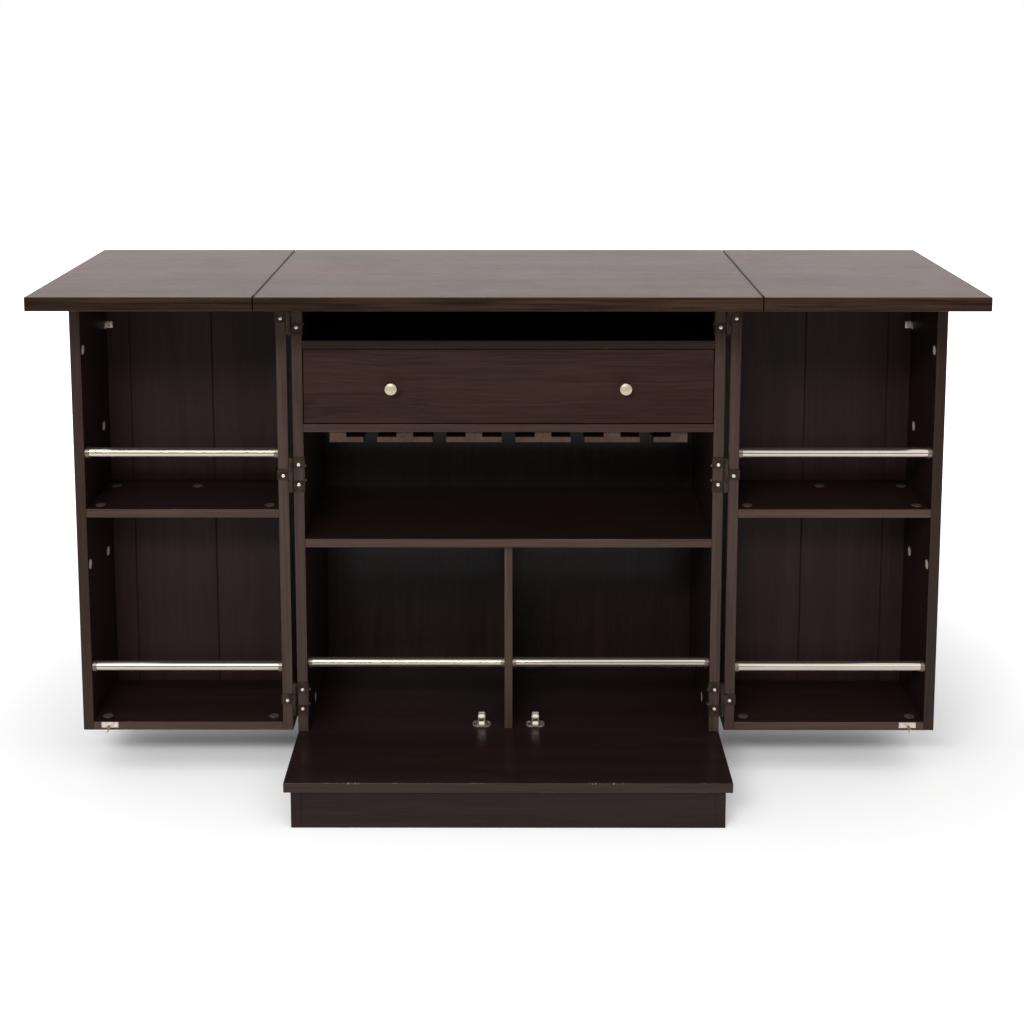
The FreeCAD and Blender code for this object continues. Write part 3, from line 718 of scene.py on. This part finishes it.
def screws(name, node, body):
    solids = solids_of(node)
    _, _, length = screw_seats(solids[0], HEAD_HEIGHT)
    template = screw_template(HEAD_RADIUS, HEAD_HEIGHT, SHANK_RADIUS, length)
    copies = []
    for solid in solids:
        seat, way, _ = screw_seats(solid, HEAD_HEIGHT)
        copies.append(copy_to(template, seat, way))
    remove(template)
    piece = joined(name, copies)
    finish(piece, "screw")
    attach(piece, body)
    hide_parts(node)


screws("body_cross_screws", "body_screws", "cabinet_body")
for side in SIDES:
    screws(side + "_wing_cross_screws", side + "_wing_screws", side + "_wing")


# Knobs

KNOB_FACE_RISE = 1.5 * MM
KNOB_FACE_SHARE = 0.90


def knob_template(radius, reach):
    """A turned knob that stands on the origin along Z: foot, neck, flared head and low domed face."""
    dome_base, dome_radius = reach - KNOB_FACE_RISE, KNOB_FACE_SHARE * radius
    # Stations of the stem: height over its seat, and share of the radius
    foot = [(0, 0.50), (0.4 * MM, 0.56), (2.1 * MM, 0.56), (2.5 * MM, 0.50)]
    neck = [(3.2 * MM, 0.40), (6.0 * MM, 0.36), (9.0 * MM, 0.38), (10.5 * MM, 0.45)]
    stem = [(height, share * radius) for height, share in foot + neck]
    # Stations of the head: distance behind the rim of the face, and share of the radius
    flare = [(5.0 * MM, 0.74), (3.0 * MM, 0.95), (2.4 * MM, 0.99), (1.6 * MM, 1.0), (0.8 * MM, 0.99),
             (0.3 * MM, 0.95), (0.1 * MM, KNOB_FACE_SHARE)]
    head = [(dome_base - behind, share * radius) for behind, share in flare]
    ball = (dome_radius ** 2 + KNOB_FACE_RISE ** 2) / (2 * KNOB_FACE_RISE)
    edge_angle = math.atan2(dome_radius, ball - KNOB_FACE_RISE)
    dome = arc_stations(reach - ball, ball, edge_angle, edge_angle * 0.04, 9)
    return turned_piece("knob_template", stem + head + dome, knob_points)


def knobs(name, node, body):
    turned, fixing = [], []
    for solid in solids_of(node):
        low, high = corners_of(solid)
        size = high - low
        if min(size.x, size.z) > 4 * HEAD_RADIUS:
            turned.append((low, high, size))
        else:
            fixing.append(screw_seats(solid, HEAD_HEIGHT))
    pieces = []
    outward = Vector((0, -fixing[0][1].y, 0))
    low, high, size = turned[0]
    template = knob_template(size.x / 2, size.y)
    for low, high, size in turned:
        foot = (low + high) / 2
        foot.y = high.y if outward.y < 0 else low.y
        pieces.append(copy_to(template, foot, outward))
    remove(template)
    template = screw_template(HEAD_RADIUS, HEAD_HEIGHT, SHANK_RADIUS, fixing[0][2])
    for seat, way, _ in fixing:
        pieces.append(copy_to(template, seat, way))
    remove(template)
    piece = joined(name, pieces)
    finish(piece, "nickel")
    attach(piece, body)
    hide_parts(node)


knobs("drawer_turned_knobs", "drawer_knobs", "drawer")
for side in SIDES:
    knobs(side + "_wing_turned_knob", side + "_wing_knob", side + "_wing")


# Rollers of the catches, with rounded rims and a shallow waist

ROLLER_RIM = 0.6 * MM
ROLLER_HUB_SHARE = 0.40
ROLLER_WAIST_SHARE = 0.97
ROLLER_WAIST_REACH_SHARE = 0.35


def roller(name, node):
    low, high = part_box(node)
    radius, half = (high.z - low.z) / 2, (high.x - low.x) / 2
    rounding = 0.3 * ROLLER_RIM
    upper = [(ROLLER_WAIST_REACH_SHARE * half, ROLLER_WAIST_SHARE * radius), (half - ROLLER_RIM, radius),
             (half - rounding, radius - rounding), (half, radius - ROLLER_RIM),
             (half, ROLLER_HUB_SHARE * radius)]
    stations = [(-height, size) for height, size in reversed(upper)] + upper
    template = turned_piece(name + "_template", stations, roller_points)
    piece = copy_to(template, (low + high) / 2, (1, 0, 0))
    remove(template)
    piece.name = name
    finish(piece, "roller")
    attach(piece, node)
    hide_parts(node)


for side in SIDES:
    for level in ("lower", "upper"):
        roller("%s_%s_catch_roller" % (side, level), "%s_%s_roller" % (side, level))


# Catches: a slotted base plate, a folded housing and riveted axles

def block(name, low, high):
    """A block between two opposite corners, with its place and size in its mesh."""
    low, high = corners_of((low, high))
    bpy.ops.mesh.primitive_cube_add(size=1, location=(low + high) / 2)
    piece = bpy.context.object
    piece.name = name
    piece.scale = high - low
    bpy.ops.object.transform_apply(location=True, rotation=True, scale=True)
    return piece


def pick_faces(piece, wanted):
    """Selects in edit mode only the faces for which wanted(centre, normal) is true."""
    edit(piece)
    bpy.ops.mesh.select_all(action="DESELECT")
    mesh = bmesh.from_edit_mesh(piece.data)
    for face in mesh.faces:
        face.select = wanted(face.calc_center_median(), face.normal)
    mesh.select_flush_mode()
    bmesh.update_edit_mesh(piece.data)


def pick_edges(piece, wanted):
    """Selects in edit mode only the edges for which wanted(middle, direction) is true."""
    edit(piece)
    bpy.ops.mesh.select_mode(type="EDGE")
    bpy.ops.mesh.select_all(action="DESELECT")
    mesh = bmesh.from_edit_mesh(piece.data)
    for bar in mesh.edges:
        first, second = (point.co for point in bar.verts)
        bar.select = wanted((first + second) / 2, (second - first).normalized())
    mesh.select_flush_mode()
    bmesh.update_edit_mesh(piece.data)


def softened(piece, width, segments=2):
    """Rounds every sharp edge of the piece."""
    bpy.ops.object.mode_set(mode="OBJECT")
    change = piece.modifiers.new("softened", "BEVEL")
    change.width = width
    change.segments = segments
    change.limit_method = "ANGLE"
    change.angle_limit = bevel_angle
    bpy.ops.object.select_all(action="DESELECT")
    piece.select_set(True)
    bpy.context.view_layer.objects.active = piece
    bpy.ops.object.modifier_apply(modifier=change.name)
    bpy.ops.object.shade_smooth_by_angle(angle=smooth_angle)


def slotted_plate(width, front, rear, thick, slot_place, slot_width, slot_length):
    """A plate with round corners on z = 0, from front to rear, with a slot in each ear."""
    plate = block("catch_plate", (-width / 2, front, 0), (width / 2, rear, thick))
    pick_edges(plate, lambda middle, way: abs(way.z) > 0.9)
    bpy.ops.mesh.bevel(offset=(rear - front) / 3, segments=8, affect="EDGES")
    bpy.ops.object.mode_set(mode="OBJECT")
    middle_y = (front + rear) / 2
    for side in (-1, 1):
        slot = block("catch_slot", (side * slot_place - slot_width / 2, middle_y - slot_length / 2, -thick),
                     (side * slot_place + slot_width / 2, middle_y + slot_length / 2, 2 * thick))
        pick_edges(slot, lambda middle, way: abs(way.z) > 0.9)
        bpy.ops.mesh.bevel(offset=0.49 * slot_width, segments=5, affect="EDGES")
        bpy.ops.object.mode_set(mode="OBJECT")
        cut(plate, slot)
    softened(plate, PLATE_EASE)
    return plate


def folded_housing(width, front, rear, height, wall):
    """Two cheeks and a rear wall, folded from one sheet."""
    sheet = block("catch_housing", (-width / 2, front, 0), (width / 2, rear, height))
    pick_faces(sheet, lambda centre, normal: normal.y < -0.9 or abs(normal.z) > 0.9)
    bpy.ops.mesh.delete(type="FACE")
    pick_edges(sheet, lambda middle, way: abs(way.z) > 0.9 and middle.y > 0)
    bpy.ops.mesh.bevel(offset=1.6 * wall, segments=4, affect="EDGES")
    bpy.ops.object.mode_set(mode="OBJECT")
    change = sheet.modifiers.new("thickness", "SOLIDIFY")
    change.thickness = wall
    change.offset = -1
    bpy.ops.object.modifier_apply(modifier=change.name)
    pick_edges(sheet, lambda middle, way: abs(way.x) > 0.9 and middle.y < front + 0.1 * wall and middle.z > 0)
    bpy.ops.mesh.bevel(offset=0.12 * height, segments=4, affect="EDGES")
    softened(sheet, CHEEK_EASE)
    return sheet


def riveted_axle(reach, radius):
    """An axle along Z between two rivet heads, about the origin."""
    head = [(0.0, 1.7 * radius), (0.3 * MM, 1.6 * radius), (0.7 * MM, 1.0 * radius), (0.8 * MM, 0.1 * radius)]
    upper = [(reach + rise, size) for rise, size in head]
    lower = [(-height, size) for height, size in reversed(upper)]
    return turned_piece("catch_axle", lower + [(-reach, radius), (reach, radius)] + upper, axle_points)


PLATE_LEAD = 1.0 * MM
PLATE_THICK = 1.5 * MM
PLATE_EASE = 0.35 * MM
SLOT_PLACE_SHARE = 0.35
SLOT_WIDTH = 4.2 * MM
SLOT_LENGTH = 14.0 * MM
CHEEK_DEPTH = 17.0 * MM
CHEEK_WALL = 1.2 * MM
CHEEK_EASE = 0.25 * MM
CHEEK_ROOM = 3.0 * MM
AXLE_RADIUS = 1.0 * MM


def catches(name, node):
    """Both catches; each template's origin is on the deck, under its rollers' axles."""
    lower_low, lower_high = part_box("left_lower_roller")
    upper_low, upper_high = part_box("left_upper_roller")
    deck_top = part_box("deck")[1].z
    axle_y = (lower_low.y + lower_high.y) / 2
    low, high = corners_of(solids_of(node)[0])
    width, height = high.x - low.x, high.z - deck_top
    cheek_front = low.y - axle_y
    cheeks = lower_high.x - lower_low.x + CHEEK_ROOM
    parts = [slotted_plate(width, -PLATE_LEAD, high.y - axle_y, PLATE_THICK, SLOT_PLACE_SHARE * width,
                           SLOT_WIDTH, SLOT_LENGTH),
             folded_housing(cheeks, cheek_front, cheek_front + CHEEK_DEPTH, height, CHEEK_WALL)]
    for box_low, box_high in ((lower_low, lower_high), (upper_low, upper_high)):
        axle = riveted_axle(cheeks / 2, AXLE_RADIUS)
        level = (box_low.z + box_high.z) / 2 - deck_top
        parts.append(copy_to(axle, (0, 0, level), (1, 0, 0)))
        remove(axle)
    template = joined("catch_template", parts)
    pieces = []
    for solid in solids_of(node):
        low, high = corners_of(solid)
        pieces.append(copy_to(template, ((low.x + high.x) / 2, axle_y, deck_top)))
    remove(template)
    piece = joined(name, pieces)
    finish(piece, "catch")
    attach(piece, "cabinet_body")
    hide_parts(node)


catches("roller_catches", "catch_housings")


# Corner clips that hold the wings' back panels

CLIP_DROP = 82 * MM
CLIP_LEG = 12 * MM
CLIP_HEIGHT = 13 * MM
CLIP_THICK = 1.0 * MM
CLIP_EASE = 0.3 * MM
CLIP_SCREW = {"head_radius": 1.9 * MM, "head_height": 0.9 * MM, "shank_radius": 1.0 * MM, "length": 5 * MM}
CLIP_SCREW_RISE = 0.22 * CLIP_HEIGHT
CLIP_SCREW_REACH = 0.62 * CLIP_LEG


def corner_clip(side):
    """An angle of sheet in the wing's outer rear corner, with two screws in each leg."""
    way = -1 if side == "left" else 1
    back_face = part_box(side + "_wing_back")[0].y
    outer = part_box(side + "_wing_outer_side")
    side_face = outer[1].x if way < 0 else outer[0].x
    top_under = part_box(side + "_wing_top")[0].z
    level = top_under - CLIP_DROP
    on_back = block(side + "_clip_leg", (side_face, back_face - CLIP_THICK, level - CLIP_HEIGHT / 2),
                    (side_face - way * CLIP_LEG, back_face, level + CLIP_HEIGHT / 2))
    on_side = block(side + "_clip_side", (side_face, back_face - CLIP_LEG, level - CLIP_HEIGHT / 2),
                    (side_face - way * CLIP_THICK, back_face, level + CLIP_HEIGHT / 2))
    for leg in (on_back, on_side):
        softened(leg, CLIP_EASE)
    template = screw_template(**CLIP_SCREW)
    pieces = [on_back, on_side]
    for step in (-1, 1):
        height = level + step * CLIP_SCREW_RISE
        back_seat = (side_face - way * CLIP_SCREW_REACH, back_face - CLIP_THICK, height)
        side_seat = (side_face - way * CLIP_THICK, back_face - CLIP_SCREW_REACH, height)
        pieces.append(copy_to(template, back_seat, (0, -1, 0)))
        pieces.append(copy_to(template, side_seat, (-way, 0, 0)))
    remove(template)
    piece = joined(side + "_back_clip", pieces)
    finish(piece, "catch")
    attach(piece, side + "_wing")


for side in SIDES:
    corner_clip(side)


# Studio

def area_light(name, place, size, power):
    data = bpy.data.lights.new(name, "AREA")
    data.shape = "RECTANGLE"
    data.size, data.size_y = size
    data.energy = power
    light = bpy.data.objects.new(name, data)
    scene.collection.objects.link(light)
    light.location = place
    light.rotation_euler = (Vector(aim_point) - Vector(place)).to_track_quat("-Z", "Y").to_euler()
    return light


def studio_floor():
    """White paper that keeps the cabinet's shadow, with painted shade that dims its glow under the wings'
    rear, and a painted dim reflection ahead.
    """
    bpy.ops.mesh.primitive_plane_add(size=floor_size, location=(0, 0, 0))
    floor = bpy.context.object
    floor.name = "studio_floor"
    material = bpy.data.materials.new("pale floor")
    material.use_nodes = True
    tree = material.node_tree
    tree.nodes.clear()
    paths = add(tree, "ShaderNodeLightPath").outputs
    seen = maths(tree, "MAXIMUM", paths["Is Camera Ray"],
                 maths(tree, "MAXIMUM", paths["Is Glossy Ray"], paths["Is Transmission Ray"]))
    matt = add(tree, "ShaderNodeBsdfDiffuse", {"Color": (floor_albedo,) * 3 + (1.0,)})
    place = add(tree, "ShaderNodeTexCoord").outputs["Object"]
    distance = add(tree, "ShaderNodeVectorMath", operation="LENGTH")
    plug(tree, place, distance.inputs[0])
    level = spread(tree, distance.outputs["Value"], *floor_glow_reach, floor_glow, 1.0)
    parts = add(tree, "ShaderNodeSeparateXYZ", {"Vector": place}).outputs
    # Painted shade: the glow is dimmed where ambient occlusion finds cover and Y is past shade_start, as
    # under the wings' rear
    open_share = add(tree, "ShaderNodeAmbientOcclusion", {"Distance": shade_reach},
                     samples=shade_samples).outputs["AO"]
    painted_shade = maths(tree, "MULTIPLY", maths(tree, "SUBTRACT", 1.0, open_share),
                    spread(tree, parts["Y"], *shade_start, 0.0, shade_depth))
    level = maths(tree, "MULTIPLY", level, maths(tree, "SUBTRACT", 1.0, painted_shade))
    glow = add(tree, "ShaderNodeEmission", {"Color": white, "Strength": maths(tree, "MULTIPLY", seen, level)})
    both = add(tree, "ShaderNodeAddShader")
    plug(tree, matt.outputs[0], both.inputs[0])
    plug(tree, glow.outputs[0], both.inputs[1])
    # Painted reflection: ahead of the cabinet, reflections alone see the floor as a dim sheet, while the
    # camera still sees it white
    ahead = spread(tree, maths(tree, "MULTIPLY", parts["Y"], -1.0), *dim_reflection_reach, 0.0, 1.0)
    painted_reflection_share = maths(tree, "MULTIPLY", paths["Is Glossy Ray"], ahead)
    dim = add(tree, "ShaderNodeBsdfDiffuse", {"Color": painted_reflection_colour})
    paper = add(tree, "ShaderNodeMixShader", {"Fac": painted_reflection_share})
    plug(tree, both.outputs[0], paper.inputs[1])
    plug(tree, dim.outputs[0], paper.inputs[2])
    output = add(tree, "ShaderNodeOutputMaterial")
    plug(tree, paper.outputs[0], output.inputs["Surface"])
    floor.data.materials.append(material)


def studio_world():
    """White to the camera; reflections see a white backdrop behind the cabinet and a dim room in front."""
    world = bpy.data.worlds.new("studio")
    scene.world = world
    world.use_nodes = True
    tree = world.node_tree
    tree.nodes.clear()
    paths = add(tree, "ShaderNodeLightPath").outputs
    direction = add(tree, "ShaderNodeTexCoord").outputs["Generated"]
    parts = add(tree, "ShaderNodeSeparateXYZ", {"Vector": direction}).outputs
    sky = spread(tree, parts["Z"], *sky_rise, horizon_level, sky_level)
    sky = maths(tree, "MULTIPLY", sky, spread(tree, parts["Y"], *rear_sky_turn, 1.0, rear_sky_share))
    rear = spread(tree, parts["Y"], *backdrop_turn, 0.0, backdrop_level)
    front = spread(tree, parts["Z"], *front_rise, front_level, backdrop_level)
    mirrored = maths(tree, "MULTIPLY", paths["Is Glossy Ray"], maths(tree, "MAXIMUM", rear, front))
    level = maths(tree, "MAXIMUM", maths(tree, "MAXIMUM", sky, mirrored), paths["Is Camera Ray"])
    background = add(tree, "ShaderNodeBackground", {"Color": white, "Strength": level})
    output = add(tree, "ShaderNodeOutputWorld")
    plug(tree, background.outputs[0], output.inputs["Surface"])


def studio_camera():
    data = bpy.data.cameras.new("view")
    data.sensor_width = sensor_width_mm
    data.lens = focal_px * sensor_width_mm / frame_px
    data.shift_x = (frame_px / 2 - axis_px[0]) / frame_px
    data.shift_y = (axis_px[1] - frame_px / 2) / frame_px
    camera = bpy.data.objects.new("view", data)
    scene.collection.objects.link(camera)
    camera.location = camera_place
    camera.rotation_euler = (math.radians(90) - camera_pitch, 0, camera_yaw)
    scene.camera = camera


studio_floor()
studio_world()
area_light("key", key_place, key_size, key_power)
area_light("fill", fill_place, fill_size, fill_power)
studio_camera()
scene.view_settings.view_transform = "Standard"
